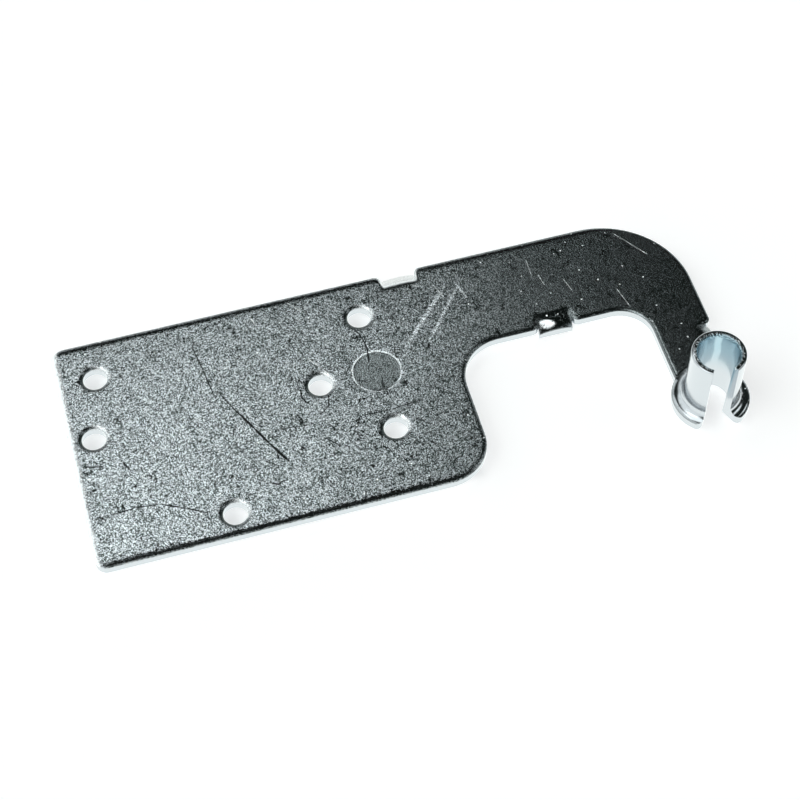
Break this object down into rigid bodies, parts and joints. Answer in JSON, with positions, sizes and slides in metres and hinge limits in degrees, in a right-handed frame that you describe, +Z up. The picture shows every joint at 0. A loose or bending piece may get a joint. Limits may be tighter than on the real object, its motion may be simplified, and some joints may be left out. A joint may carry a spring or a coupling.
{
  "type": "fridge door hinge",
  "caption": "Flat stamped steel door hinge: a plate with screw holes, an arm that turns down to a hollow upright pin open along one side, and small lugs pressed down out of its edges.",
  "frame": {"origin": "under the middle of the bounding box, at the height of the lugs' lower ends", "axes": "+X along the straight back edge from the screw plate to the pin, +Y towards the back edge, +Z up along the pin"},
  "size_m": [0.1666, 0.068, 0.0224],
  "materials": {
    "plate": "bright zinc plate, scratched"
  },
  "bodies": {
    "root": {"hinge_plate": "plate"}
  },
  "joints": []
}
